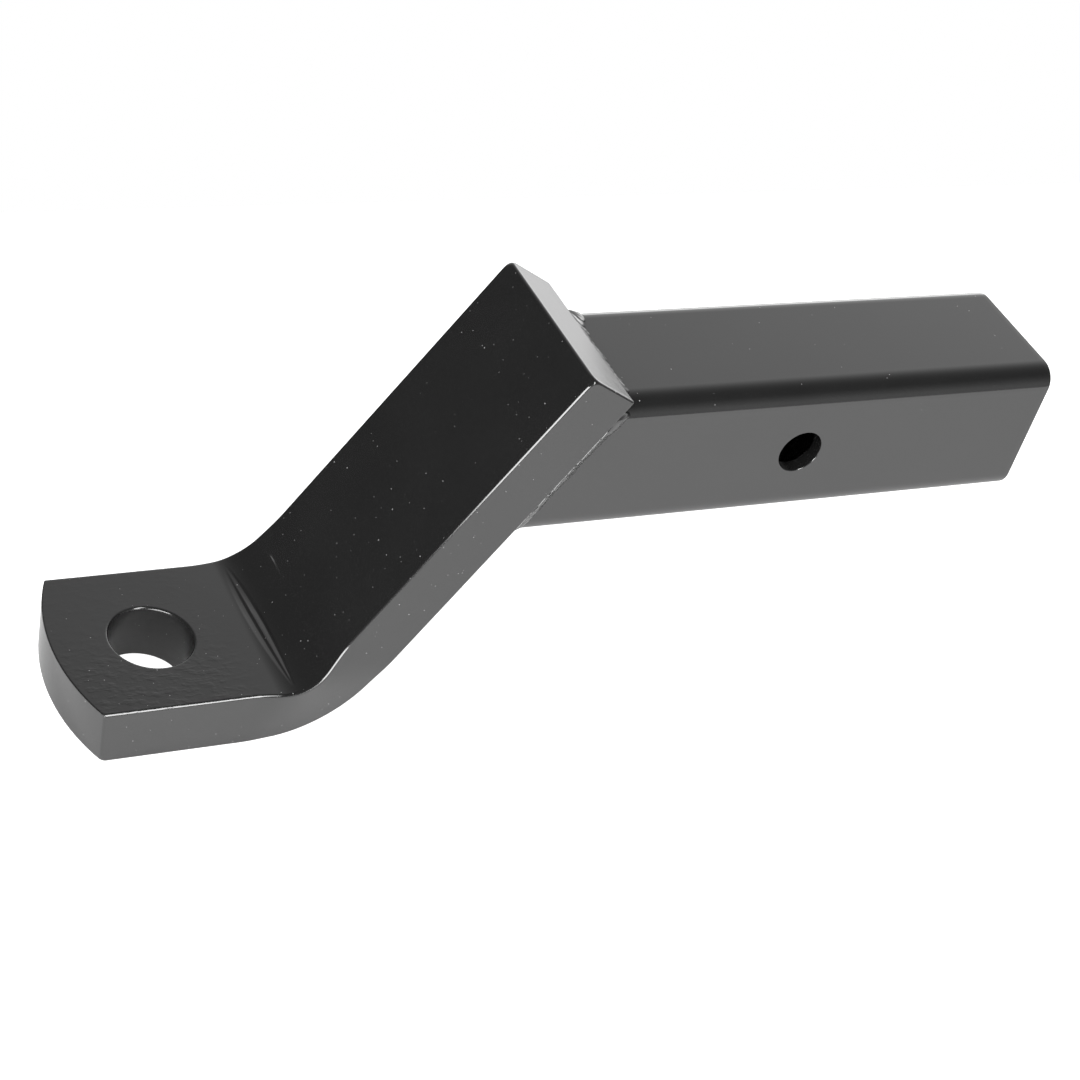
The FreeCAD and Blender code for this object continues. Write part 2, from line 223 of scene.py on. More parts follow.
def hole_rows(radius, top_lip, foot_lip, top, foot, steps=9):
    """Radius and height of each ring down a drilled hole whose two rims are a little rounded."""
    quarter = quarter_turn(lip_steps)
    rows = [(radius + top_lip + narrow_row, top)]
    rows += [(radius + top_lip * (1 - math.sin(a)), top - top_lip * (1 - math.cos(a))) for a in quarter]
    rows += [(radius, z) for z in spread(top - top_lip, foot + foot_lip, abs(top - foot) / steps)[1:-1]]
    rows += [(radius + foot_lip * (1 - math.cos(a)), foot + foot_lip * (1 - math.sin(a))) for a in quarter]
    rows += [(radius + foot_lip + narrow_row, foot)]
    return rows


def ring(centre, radius, count):
    """Points on a circle in a flat face."""
    turns = [2 * math.pi * k / count for k in range(count)]
    return [(centre[0] + radius * math.cos(a), centre[1] + radius * math.sin(a)) for a in turns]


def add_strips(corners, faces, loops, closed=True):
    """Faces between each loop of points and the next."""
    first = len(corners)
    size = len(loops[0])
    for loop in loops:
        corners.extend(loop)
    for k in range(len(loops) - 1):
        for i in range(size if closed else size - 1):
            a = first + k * size + i
            b = first + k * size + (i + 1) % size
            faces.append((a, a + size, b + size, b))


def add_flat(corners, faces, outer, rim, spots, centre, place):
    """Triangles over a flat face between its outer loop and a round hole. place turns a flat point into one
    in space."""
    points = [Vector(p) for p in [*outer, *rim, *spots]]
    edges = [(k, (k + 1) % len(outer)) for k in range(len(outer))]
    edges += [(len(outer) + k, len(outer) + (k + 1) % len(rim)) for k in range(len(rim))]
    all_triangles = 0
    same_spot = 1e-5
    just_inside = 0.999
    found, _, triangles, *_ = delaunay_2d_cdt(points, edges, [], all_triangles, same_spot)
    hole = min((Vector(p) - Vector(centre)).length for p in rim) * just_inside
    first = len(corners)
    corners.extend(place(p) for p in found)
    for triangle in triangles:
        middle = sum((found[k] for k in triangle), Vector((0, 0))) / 3
        if (middle - Vector(centre)).length > hole:
            faces.append(tuple(first + k for k in triangle))


def make_piece(name, corners, faces):
    """A closed mesh object from points and faces, with doubles merged and its faces outwards."""
    mesh = bpy.data.meshes.new(name)
    mesh.from_pydata([tuple(p) for p in corners], [], faces)
    piece = bpy.data.objects.new(name, mesh)
    bpy.context.scene.collection.objects.link(piece)
    tidy_mesh(mesh, merge_gap)
    return piece


def tidy_mesh(mesh, gap):
    """Merges doubles, drops faces without area, turns every face outwards and shades it smooth."""
    work = bmesh.new()
    work.from_mesh(mesh)
    bmesh.ops.remove_doubles(work, verts=work.verts, dist=gap)
    bmesh.ops.dissolve_degenerate(work, edges=work.edges, dist=gap / 2)
    bmesh.ops.recalc_face_normals(work, faces=work.faces)
    work.to_mesh(mesh)
    work.free()
    mesh.shade_smooth()


def flat_blank():
    """The bar before it is bent, lying flat with its upper face at height 0. Its columns are closest at
    the former's first mark and close through the bend."""
    mark_end = knee_x - 1
    bend_end = bend_start + bend_run + 1
    columns = spread(tip_x, bend_start, straight_step)
    columns += spread(bend_start, mark_end, mark_step)[1:]
    columns += spread(mark_end, bend_end, bend_step)[1:]
    columns += spread(bend_end, blank_end, straight_step)[1:]
    shares = [(x - tip_x) / (blank_end - tip_x) for x in columns]
    side = edge_rows(edge_round, edge_foot_round)
    tip = edge_rows(tip_edge_round, tip_foot_round)
    end = edge_rows(end_edge_round, end_foot_round)
    loops = [row_outline(side[k], tip[k], end[k], shares) for k in range(len(side))]
    corners = []
    faces = []
    add_strips(corners, faces, loops)
    hole = hole_rows(ball_hole_radius, ball_hole_lip, ball_hole_foot_lip, 0.0, -bar_thickness)
    centre = (ball_hole_x, 0.0)
    rings = [[(x, y, height) for x, y in ring(centre, radius, ball_ring_points)] for radius, height in hole]
    add_strips(corners, faces, rings)
    spots = []
    for x in columns:
        for y in spread(-bar_width / 2 + rim_clear, bar_width / 2 - rim_clear, across_step):
            tip_edge = tip_x + tip_radius - math.sqrt((tip_radius - tip_clear) ** 2 - y**2)
            outside_hole = math.dist((x, y), centre) > ball_hole_radius + hole_clear
            if tip_edge < x < blank_end - end_clear and outside_hole:
                spots.append((x, y))
    upper = lambda p: (p[0], p[1], -former_mark(p[0], p[1]))
    lower = lambda p: (p[0], p[1], -bar_thickness)
    for loop, rim, place in ((loops[0], rings[0], upper), (loops[-1], rings[-1], lower)):
        add_flat(corners, faces, [p[:2] for p in loop], [p[:2] for p in rim], spots, centre, place)
    return make_piece("ball_bar_forged", corners, faces)


class Value:
    """A node's output. Python's + - * / between outputs or numbers add Math nodes to the same tree."""

    def __init__(self, socket):
        self.socket = socket

    @staticmethod
    def node(tree, kind, settings=None, inputs=None, output=0):
        """Adds a node: its settings first, then the values or links of its sockets."""
        made = tree.nodes.new(kind)
        for key, setting in (settings or {}).items():
            setattr(made, key, setting)
        for key, given in (inputs or {}).items():
            if isinstance(given, Value):
                tree.links.new(given.socket, made.inputs[key])
            else:
                made.inputs[key].default_value = given
        return Value(made.outputs[output]) if made.outputs else None

    def other(self, output):
        """Another output of the same node."""
        return Value(self.socket.node.outputs[output])

    def maths(self, operation, *terms):
        """A Math node on this output and other terms."""
        inputs = dict(enumerate((self, *terms)))
        return Value.node(self.socket.id_data, "ShaderNodeMath", {"operation": operation}, inputs)

    def turned_maths(self, operation, term):
        """A Math node with this output as its second term."""
        inputs = {0: term, 1: self}
        return Value.node(self.socket.id_data, "ShaderNodeMath", {"operation": operation}, inputs)

    def __add__(self, term):
        return self.maths("ADD", term)

    def __radd__(self, term):
        return self.turned_maths("ADD", term)

    def __sub__(self, term):
        return self.maths("SUBTRACT", term)

    def __rsub__(self, term):
        return self.turned_maths("SUBTRACT", term)

    def __mul__(self, term):
        return self.maths("MULTIPLY", term)

    def __truediv__(self, term):
        return self.maths("DIVIDE", term)

    def limit(self, low, high):
        """This output kept between two values."""
        return self.maths("MAXIMUM", low).maths("MINIMUM", high)


def new_tree(name, inputs):
    """An empty Geometry Nodes tree with named inputs. Returns the tree and its inputs as Values."""
    tree = bpy.data.node_groups.new(name, "GeometryNodeTree")
    tree.interface.new_socket(name="Geometry", in_out="INPUT", socket_type="NodeSocketGeometry")
    tree.interface.new_socket(name="Geometry", in_out="OUTPUT", socket_type="NodeSocketGeometry")
    kinds = {float: "NodeSocketFloat", tuple: "NodeSocketVector"}
    for label, value in inputs.items():
        tree.interface.new_socket(name=label, in_out="INPUT", socket_type=kinds[type(value)])
    entry = tree.nodes.new("NodeGroupInput")
    return tree, {label: Value(entry.outputs[label]) for label in ["Geometry", *inputs]}


def close_tree(tree, shape, material):
    """Ends a tree with its plain mesh in one material."""
    real = Value.node(tree, "GeometryNodeRealizeInstances", {}, {"Geometry": shape})
    coated = Value.node(tree, "GeometryNodeSetMaterial", {}, {"Geometry": real, "Material": material})
    leave = tree.nodes.new("NodeGroupOutput")
    tree.links.new(coated.socket, leave.inputs["Geometry"])


def run_tree(piece, tree, inputs, gap):
    """Puts a tree on a piece with its inputs and keeps the result as a plain mesh in metres."""
    modifier = piece.modifiers.new(tree.name, "NODES")
    modifier.node_group = tree
    for item in tree.interface.items_tree:
        if item.in_out == "INPUT" and item.name in inputs:
            modifier[item.identifier] = inputs[item.name]
    view = bpy.context.evaluated_depsgraph_get()
    shaped = bpy.data.meshes.new_from_object(piece.evaluated_get(view))
    piece.modifiers.remove(modifier)
    piece.data = shaped
    shaped.name = piece.name
    tidy_mesh(shaped, gap)
    shaped.transform(Matrix.Scale(0.001, 4))
    shaped.update()
    return piece


def bending_tree(material, inputs):
    """Bends a flat bar round the former and swells its inner edges, as the press does."""
    tree, given = new_tree("press_bar_round_former", inputs)
    place = Value.node(tree, "GeometryNodeInputPosition")
    along = Value.node(tree, "ShaderNodeSeparateXYZ", {}, {0: place})
    across = along.other(1)
    height = along.other(2)
    past = along - given["Bend start"]
    turn = (past / given["Former radius"]).limit(0.0, given["Bend angle"])
    run = past - turn * given["Former radius"]
    lever = given["Former radius"] - height
    bent_x = given["Bend start"] + lever * turn.maths("SINE") + run * turn.maths("COSINE")
    bent_z = given["Former height"] - lever * turn.maths("COSINE") + run * turn.maths("SINE")
    swell_share = ((past + given["Swell before"]) / given["Swell length"]).limit(0.0, 1.0)
    swell = (1.0 - (swell_share * (2 * math.pi)).maths("COSINE")) / 2.0
    depth = (height / (-bar_thickness)).limit(0.0, 1.0)
    wider = given["Swell"] - depth * (given["Swell"] + given["Waist"])
    far_side = (across / far_swell_run).limit(0.0, 1.0)
    swell = swell * (1.0 - far_side * (1.0 - given["Far swell"]))
    bent_y = across * (1.0 + swell * wider / (bar_width / 2))
    bent = Value.node(tree, "ShaderNodeCombineXYZ", {}, {0: bent_x, 1: bent_y, 2: bent_z})
    moved = {"Geometry": given["Geometry"], "Position": bent}
    shape = Value.node(tree, "GeometryNodeSetPosition", {}, moved)
    close_tree(tree, shape, material)
    return tree


def noise(tree, coordinates, size, detail, roughness=0.5):
    """Soft random values about 0.5, with features of a size in millimetres."""
    inputs = {"Vector": coordinates, "Scale": 1000.0 / size, "Detail": detail, "Roughness": roughness}
    return Value.node(tree, "ShaderNodeTexNoise", {}, inputs)


def ramp(value, start, run):
    """0 at a place and 1 from a run past it on, for a coordinate in metres and a place and run in
    millimetres. A negative run goes the other way."""
    return ((value - start / 1000) * (1000 / run)).limit(0.0, 1.0)


# The coat: its grey, roughness and index, and the soft clouds that vary its grey and roughness a little
coat_shade = 0.0105
coat_roughness = 0.105
coat_index = 1.88
orange_peel_size = 2.4
cloud_size = 26.0
cloud_in_shade = 0.004
cloud_in_roughness = 0.08

# Dust: the cell that each speck lies in, the size of the dustier patches, and how sharp a speck's edge is.
# A speck's size, as a share of its cell, and its grey are each a least value and what chance can add
dust_cell = 1.6
dust_drift = 15.0
speck_edge = 20.0
speck_size = (0.07, 0.09)
speck_grey = (0.05, 0.35)

# Mill scale on the ball platform: its fine grain and its pocks, with their sizes and shares of the relief.
# Both are drawn out along the bar, and the pocks are deeper on the near side
scale_stretch = 0.55
grain_size = 0.9
grain_share = 0.35
pock_size = 2.3
pock_start = 0.47
pock_edge = 4.0
pock_share = 0.25
pock_share_near = 0.75
scale_roughness = 0.05

# The ball hole's drill rings, and the leg's sawn end, whose relief is a share of the pits on the platform
ring_size = 1.6
ring_squash = 0.12
ring_depth = 0.06
bore_roughness = 0.26
leg_end_along = knee_x * math.cos(leg_angle) + platform_top * math.sin(leg_angle) + leg_length
sawn_share = 1 / 1.8
sawn_dullest_pits = 550.0


def dust(tree, place, dusty):
    """Light specks of dust caught in the coat. Each lies in a cell of its own, and dusty is the share of
    cells that could hold one. Some are lighter and some are bigger than others."""
    cells = Value.node(tree, "ShaderNodeTexVoronoi", {}, {"Vector": place, "Scale": 1000.0 / dust_cell})
    chance = Value.node(tree, "ShaderNodeSeparateColor", {}, {0: cells.other("Color")})
    size = speck_size[0] + chance.other(1) * speck_size[1]
    drift = noise(tree, place, dust_drift, detail=1.0)
    landed = (chance - (1.0 - drift * dusty)).maths("GREATER_THAN", 0.0)
    speck = ((size - cells) * speck_edge).limit(0.0, 1.0) * landed
    return speck * (speck_grey[0] + chance.other(2) * speck_grey[1])


def platform_scale(tree, place, across, on_platform):
    """The grain and the pocks of mill scale on the ball platform, and the soft values that place the
    pocks."""
    near_side = ramp(across, 6.0, -22.222)
    drawn = Value.node(tree, "ShaderNodeMapping", {}, {"Vector": place, "Scale": (scale_stretch, 1.0, 1.0)})
    rolled = noise(tree, drawn, grain_size, detail=3.0, roughness=0.6)
    coarse = noise(tree, drawn, pock_size, detail=3.0, roughness=0.55)
    pocks = ((coarse - pock_start) * pock_edge).limit(0.0, 1.0)
    pocked = pocks * (pock_share + near_side * pock_share_near)
    return on_platform * (rolled * grain_share + pocked), coarse


def powder_coat(name, orange_peel, pits, dusty):
    """Gloss black powder coat: near black, a clear hard skin with orange peel, and a few specks of dust.

    orange_peel is the height of its waves in microns. pits is the height in microns of the coarser grain
    on the ball platform, where the coat was sprayed thin over mill scale, and sets how dull the sawn end of
    the leg is. dusty is the share of places where a speck may have settled.
    """
    material = bpy.data.materials.new(name)
    material.use_nodes = True
    tree = material.node_tree
    tree.nodes.clear()
    place = Value.node(tree, "ShaderNodeTexCoord", {}, {}, "Object")
    along = Value.node(tree, "ShaderNodeSeparateXYZ", {}, {0: place})
    across = along.other(1)
    height = along.other(2)

    # Masks of the ball platform's upper face, the ball hole's wall and the leg's sawn end: 1 there, and 0 a
    # short run away
    on_platform = ramp(height, platform_top + 4.2, -4.0) * ramp(along, -170.0, -14.286)
    on_platform = on_platform * ramp(height, platform_top - 0.4, 0.25)
    beside_axis = (along - ball_hole_x / 1000).maths("POWER", 2.0)
    from_axis = (beside_axis + across.maths("POWER", 2.0)).maths("SQRT")
    in_bore = ramp(from_axis, ball_hole_radius + 0.06, -0.05)
    up_leg = along * math.cos(leg_angle) + height * math.sin(leg_angle)
    on_sawn_end = ramp(up_leg, leg_end_along - 0.3, 0.125)

    cloud = noise(tree, place, cloud_size, detail=3.0)
    shade = coat_shade + (cloud - 0.5) * cloud_in_shade + dust(tree, place, dusty)
    colour = Value.node(tree, "ShaderNodeCombineColor", {}, {0: shade, 1: shade, 2: shade})

    waves = noise(tree, place, orange_peel_size, detail=1.0) * (orange_peel / 1000.0)
    scale, coarse = platform_scale(tree, place, across, on_platform)
    squashed = (ring_squash, ring_squash, 1.0)
    turned = Value.node(tree, "ShaderNodeMapping", {}, {"Vector": place, "Scale": squashed})
    drilled = noise(tree, turned, ring_size, detail=2.0) * in_bore * ring_depth
    sawn = on_sawn_end * (cloud * 0.5 + coarse) * (pits / 1000.0 * sawn_share)
    relief = waves + scale * (pits / 1000.0) + drilled + sawn
    bump = Value.node(tree, "ShaderNodeBump", {}, {"Strength": 1.0, "Distance": 0.001, "Height": relief})

    rough = coat_roughness + (cloud - 0.5) * cloud_in_roughness + on_platform * scale_roughness
    rough = rough + in_bore * bore_roughness + on_sawn_end * (pits / sawn_dullest_pits)
    coat = {"Base Color": colour, "Roughness": rough, "IOR": coat_index, "Normal": bump}
    surface = Value.node(tree, "ShaderNodeBsdfPrincipled", {}, coat)
    Value.node(tree, "ShaderNodeOutputMaterial", {}, {"Surface": surface})
    return material


bar_coat = powder_coat("gloss_black_powder_coat_on_bar", orange_peel=1.5, pits=55.0, dusty=0.42)
press = {
    "Bend start": bend_start,
    "Bend angle": leg_angle,
    "Former radius": knee_radius,
    "Former height": platform_top + knee_radius,
    "Swell": knee_swell,
    "Waist": knee_waist,
    "Swell before": swell_before,
    "Swell length": swell_before + bend_run + swell_after,
    "Far swell": far_swell,
}
bar = run_tree(flat_blank(), bending_tree(bar_coat, press), press, merge_gap)
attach(bar, "root")
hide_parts("ball_bar")

# Shank
# A 2 in square steel tube with a 4.8 mm wall. One end is sawn to the slope of the leg and welded to it,
# and the other is sawn square and left open. A hitch pin hole is drilled through both side walls.

tube_half = 25.4
tube_wall = 4.8
tube_outer_round = 7.0
tube_inner_round = 2.2
tube_end = 94.8
mitre_x = -92.61
pin_hole_radius = 7.8
pin_hole_lip = 0.35
inner_lip = 0.3
saw_round = 0.5

# Parts of the mesh round a corner, along the tube, round the pin hole, down its wall, and round the sawn
# end's outer and inner edge
corner_parts = 12
tube_rows = 84
pin_ring_points = 72
pin_wall_steps = 4
saw_steps = 5
inner_lip_steps = 4

# Spacing of the mesh across a flat, beside its edges, and clear of them and of the pin hole
flat_step = 2.0
flat_edge_step = 0.4
flat_clear = 2.2
pin_clear = 1.6


def tube_loop(half, corner, x_at):
    """Points round the tube's section, and how many of them a flat and a whole side have. x_at gives the
    place along the tube from the height."""
    flat = half - corner
    middle = spread(-flat + flat_clear, flat - flat_clear, flat_step)
    row = [-flat, -flat + flat_edge_step, *middle, flat - flat_edge_step, flat]
    loop = []
    for side in range(4):
        turn = math.radians(90 * side)
        quarter = quarter_turn(corner_parts)[1:-1]
        points = [(half, y) for y in row]
        points += [(flat + corner * math.cos(a), flat + corner * math.sin(a)) for a in quarter]
        for y, z in points:
            y, z = y * math.cos(turn) - z * math.sin(turn), y * math.sin(turn) + z * math.cos(turn)
            loop.append((x_at(z), y, z))
    return loop, len(row), len(row) + corner_parts - 1


def tube_skin(corners, faces, half, corner, stop, radius):
    """The tube's outer or inner skin, with its two side walls filled round the pin hole."""
    shares = [k / tube_rows for k in range(tube_rows + 1)]
    rows = []
    for share in shares:
        at = lambda z, share=share: mitre_line(z) + (stop - mitre_line(z)) * share
        loop, flat_count, side_count = tube_loop(half, corner, at)
        rows.append(loop)
    for side in range(4):
        first = side * side_count
        size = len(rows[0])
        wanted = list(range(first, first + flat_count))
        round_part = [k % size for k in range(first + flat_count - 1, first + side_count + 1)]
        add_strips(corners, faces, [[row[k] for k in round_part] for row in rows], closed=False)
        if side in (1, 3):
            add_strips(corners, faces, [[row[k] for k in wanted] for row in rows], closed=False)
            continue
        wall = rows[0][first][1]
        outer = [(row[first][0], row[first][2]) for row in rows]
        outer += [(rows[-1][k][0], rows[-1][k][2]) for k in wanted[1:]]
        outer += [(row[wanted[-1]][0], row[wanted[-1]][2]) for row in reversed(rows[:-1])]
        outer += [(rows[0][k][0], rows[0][k][2]) for k in reversed(wanted[1:-1])]
        spots = []
        for row in rows[1:-1]:
            for k in wanted[1:-1]:
                if math.hypot(row[k][0], row[k][2]) > radius + pin_clear:
                    spots.append((row[k][0], row[k][2]))
        add_flat(corners, faces, outer, ring((0, 0), radius, pin_ring_points), spots, (0, 0),
                 lambda p, wall=wall: (p[0], wall, p[1]))
    return rows


def mitre_line(height):
    """Where the leg's rear face is at a height."""
    return mitre_x + height / math.tan(leg_angle)


def drilled_tube():
    """The whole tube: outer skin, rounded sawn end, inner skin, mitred end and the two drilled holes."""
    corners = []
    faces = []
    outer_stop = tube_end - saw_round
    inner_half = tube_half - tube_wall
    pin_rows = hole_rows(pin_hole_radius, pin_hole_lip, inner_lip, tube_half, inner_half, pin_wall_steps)
    outer = tube_skin(corners, faces, tube_half, tube_outer_round, outer_stop, pin_rows[0][0])
    inner = tube_skin(corners, faces, inner_half, tube_inner_round, tube_end - inner_lip, pin_rows[-1][0])
    add_strips(corners, faces, [outer[0], inner[0]])
    end_loops = []
    for turn in quarter_turn(saw_steps):
        inset = saw_round * (1 - math.cos(turn))
        x = outer_stop + saw_round * math.sin(turn)
        end_loops.append(tube_loop(tube_half - inset, tube_outer_round - inset, lambda z, x=x: x)[0])
    for turn in quarter_turn(inner_lip_steps):
        inset = inner_lip * (1 - math.sin(turn))
        x = tube_end - inner_lip * (1 - math.cos(turn))
        end_loops.append(tube_loop(inner_half + inset, tube_inner_round + inset, lambda z, x=x: x)[0])
    add_strips(corners, faces, end_loops)
    for side in (-1, 1):
        rings = []
        for radius, depth in pin_rows:
            rings.append([(x, side * depth, z) for x, z in ring((0, 0), radius, pin_ring_points)])
        add_strips(corners, faces, rings)
    piece = make_piece("shank_tube_drilled", corners, faces)
    piece.data.transform(Matrix.Scale(0.001, 4))
    piece.data.update()
    return piece


tube = drilled_tube()
tube_coat = powder_coat("gloss_black_powder_coat_on_tube", orange_peel=2.0, pits=0.0, dusty=0.12)
tube.data.materials.append(tube_coat)
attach(tube, "root")
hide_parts("shank_tube")

# Welds
# Four passes laid by hand in the corners between the leg's rear face and the flats of the tube. The wire
# freezes in overlapping ripples, the passes wander a little, and all of it is under the same black coat.

weld_on_leg = 5.3
weld_on_tube = 8.0
weld_pitch = 2.6
weld_step = 0.15
weld_nose = 2.2
weld_wander = 0.42
weld_puddle = 11.0
longest_wrap = 9.0
flat_half = tube_half - tube_outer_round

# How unsteady the hand was: the edge on the leg's share of the wander, how much wider the last puddle is,
# how far the ripples drift and lag at the bead's edges, in ripples, and how lumpy the crown is
leg_wander_share = 0.35
puddle_spread = 0.4
ripple_drift = 1.6
ripple_lag = 0.8
lumpiness = 0.9

# Parts of the mesh along a bead and round it, and the gap within which two points become one
bead_columns = 420
bead_rows = 49
weld_merge_gap = 0.004


def bead_tree(material, inputs):
    """A weld bead from one end of a corner to the other, as a closed skin on a grid of points."""
    tree, given = new_tree("lay_weld_bead", inputs)
    size = {"Size X": 1.0, "Size Y": 1.0, "Vertices X": bead_columns, "Vertices Y": bead_rows}
    grid = Value.node(tree, "GeometryNodeMeshGrid", {}, size)
    place = Value.node(tree, "GeometryNodeInputPosition")
    along = Value.node(tree, "ShaderNodeSeparateXYZ", {}, {0: place})
    share = along + 0.5
    around = along.other(1) + 0.5
    length = given["Last"] - given["First"]
    puddle = (1.0 - (1.0 - share) * length / given["Puddle"]).limit(0.0, 1.0)
    puddle = puddle * puddle
    from_end = share.maths("MINIMUM", 1.0 - share) * length
    short = (1.0 - from_end / given["Nose"]).limit(0.0, 1.0)
    nose = (1.0 - short * short).maths("SQRT")

    def wander(row, features):
        """Soft random values about 0 along the bead, with features of a length in millimetres."""
        where = Value.node(tree, "ShaderNodeCombineXYZ", {},
                           {0: share * length / features, 1: given["Seed"], 2: row})
        inputs = {"Vector": where, "Scale": 1.0, "Detail": 2.0}
        return Value.node(tree, "ShaderNodeTexNoise", {}, inputs) - 0.5

    # Round the section: from the edge on the leg over the crown to the edge on the tube, then along the
    # tube into the corner and up the leg
    leg_weight = (1.0 - around * 2.0).maths("MAXIMUM", around * 4.0 - 3.0).maths("MAXIMUM", 0.0)
    tube_weight = (around * 2.0).maths("MINIMUM", 3.0 - around * 4.0).maths("MAXIMUM", 0.0)
    crown_weight = (around * 8.0 * (1.0 - around * 2.0)).maths("MAXIMUM", 0.0)
    on_leg = leg_weight * nose * (1.0 + wander(1.3, features=5.0) * given["Wander"] * leg_wander_share)
    tube_wander = wander(7.7, features=3.2) * given["Wander"] + puddle * puddle_spread
    on_tube = tube_weight * nose * (1.0 + tube_wander)
    phase = share * length / given["Pitch"] + wander(3.1, features=6.0) * ripple_drift
    phase = phase - (1.0 - crown_weight) * ripple_lag
    past_step = phase.maths("FRACT")
    ripple = (1.0 - past_step * past_step) * given["Step"] * crown_weight.maths("SQRT")
    lumps = 1.0 + wander(5.9, features=4.0) * lumpiness
    body = crown_weight * (given["Crown"] * lumps + puddle * given["Nub"])
    rise = nose * (body + ripple * (1.0 + puddle * given["Nub"]))

    def scaled(vector, factor):
        """The vector made longer or shorter."""
        return Value.node(tree, "ShaderNodeVectorMath", {"operation": "SCALE"}, {0: vector, "Scale": factor})

    def summed(first, second):
        """The sum of two vectors."""
        return Value.node(tree, "ShaderNodeVectorMath", {"operation": "ADD"}, {0: first, 1: second})

    def unit(vector):
        """The vector's way, 1 long."""
        return Value.node(tree, "ShaderNodeVectorMath", {"operation": "NORMALIZE"}, {0: vector})

    run = given["First"] + share * length
    side = run.maths("SIGN")
    turn = (run.maths("ABSOLUTE") - given["Flat half"]).limit(0.0, longest_wrap) / given["Tube rounding"]
    lateral = side * (run.maths("ABSOLUTE").maths("MINIMUM", given["Flat half"])
                      + given["Tube rounding"] * turn.maths("SINE"))
    outward = given["Tube half"] - given["Tube rounding"] + given["Tube rounding"] * turn.maths("COSINE")
    section = summed(scaled(given["Across"], lateral), scaled(given["Out"], outward))
    facing = summed(scaled(given["Across"], side * turn.maths("SINE")),
                    scaled(given["Out"], turn.maths("COSINE")))

    def on_slope(vector, start):
        """The vector moved along the tube onto a face that slopes as the leg's rear face does."""
        lift = Value.node(tree, "ShaderNodeSeparateXYZ", {}, {0: vector}, 2)
        sloped = Value.node(tree, "ShaderNodeCombineXYZ", {}, {0: start + lift * given["Lean"]})
        return summed(vector, sloped)

    corner = on_slope(section, given["Mitre place"])
    leg_side = unit(on_slope(facing, 0.0))
    tube_side = Value.node(tree, "ShaderNodeCombineXYZ", {}, {0: given["On tube"]})
    outwards = unit(summed(scaled(leg_side, given["On leg"]), tube_side))
    spot = summed(corner, scaled(leg_side, on_leg * given["On leg"]))
    spot = summed(spot, scaled(tube_side, on_tube))
    spot = summed(spot, scaled(outwards, rise))
    bead = Value.node(tree, "GeometryNodeSetPosition", {}, {"Geometry": grid, "Position": spot})
    close_tree(tree, bead, material)
    return tree


def weld_inputs(across, out, first_wrap, last_wrap, crown, nub, seed):
    """The inputs of one bead: the way along its flat of the tube, the way out from it, how far its first
    and last end wrap round the tube's corners, how proud it stands, and how high metal heaped up at its
    last end."""
    return {
        "Across": across,
        "Out": out,
        "First": -flat_half - first_wrap,
        "Last": flat_half + last_wrap,
        "Flat half": flat_half,
        "Puddle": weld_puddle,
        "Tube rounding": tube_outer_round,
        "Tube half": tube_half,
        "Mitre place": mitre_x,
        "Lean": 1 / math.tan(leg_angle),
        "On leg": weld_on_leg,
        "On tube": weld_on_tube,
        "Pitch": weld_pitch,
        "Step": weld_step,
        "Crown": crown,
        "Nub": nub,
        "Nose": weld_nose,
        "Wander": weld_wander,
        "Seed": float(seed),
    }


left = (0.0, 1.0, 0.0)
right = (0.0, -1.0, 0.0)
up = (0.0, 0.0, 1.0)
down = (0.0, 0.0, -1.0)
beads = {
    "top_weld": weld_inputs(left, up, 3.4, 0.6, crown=0.15, nub=1.6, seed=3),
    "bottom_weld": weld_inputs(left, down, 2.5, 2.5, crown=0.45, nub=0.6, seed=11),
    "left_weld": weld_inputs(up, left, 2.0, 4.0, crown=0.6, nub=0.8, seed=17),
    "right_weld": weld_inputs(up, right, 0.8, 4.4, crown=0.6, nub=0.5, seed=23),
}
weld_coat = powder_coat("gloss_black_powder_coat_on_welds", orange_peel=9.0, pits=0.0, dusty=0.12)
weld_tree = bead_tree(weld_coat, beads["top_weld"])
for node_name, bead in beads.items():
    blank = bpy.data.objects.new(node_name + "_bead", bpy.data.meshes.new(node_name + "_bead"))
    bpy.context.scene.collection.objects.link(blank)
    piece = run_tree(blank, weld_tree, bead, weld_merge_gap)
    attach(piece, "root")
    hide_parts(node_name)

# Table
# A white table top under the mount, 3 m wide and 0.59 m deep. It ends 0.33 m in front of the mount's
# middle, so that the dark room beyond shows in the round corners of the tube.

table_top = -96.3
table_box = ((-1500, -330), (1500, 260))

# The paint's grey, and how much the table glows to all and how much more to the camera
table_shade = 0.84
table_glow = 0.05
table_glow_to_camera = 0.8


def white_table():
    """The table's top as one flat face, in metres."""
    (x0, y0), (x1, y1) = table_box
    spots = [(x0, y0), (x1, y0), (x1, y1), (x0, y1)]
    mesh = bpy.data.meshes.new("white_table")
    mesh.from_pydata([(x / 1000, y / 1000, table_top / 1000) for x, y in spots], [], [(0, 1, 2, 3)])
    table = bpy.data.objects.new("white_table", mesh)
    bpy.context.scene.collection.objects.link(table)
    material = bpy.data.materials.new("matt_white_table")
    material.use_nodes = True
    tree = material.node_tree
    tree.nodes.clear()
    white = (table_shade, table_shade, table_shade, 1)
    paint = Value.node(tree, "ShaderNodeBsdfDiffuse", {}, {"Color": white})
    seen = Value.node(tree, "ShaderNodeLightPath", {}, {}, "Is Camera Ray")
    strength = table_glow + seen * table_glow_to_camera
    glow = Value.node(tree, "ShaderNodeEmission", {}, {"Color": (1, 1, 1, 1), "Strength": strength})
    both = Value.node(tree, "ShaderNodeAddShader", {}, {0: paint, 1: glow})
    Value.node(tree, "ShaderNodeOutputMaterial", {}, {"Surface": both})
    mesh.materials.append(material)
    return table


white_table()

# Studio light
# Two strip boxes, one upright in front and one low on the ball platform's side, show as the thin bright
# line along the bar's rounded edges. A third box on that side only fills the mount's shadow. The room is
# dark but for a white wall behind the mount, which the upper faces mirror.


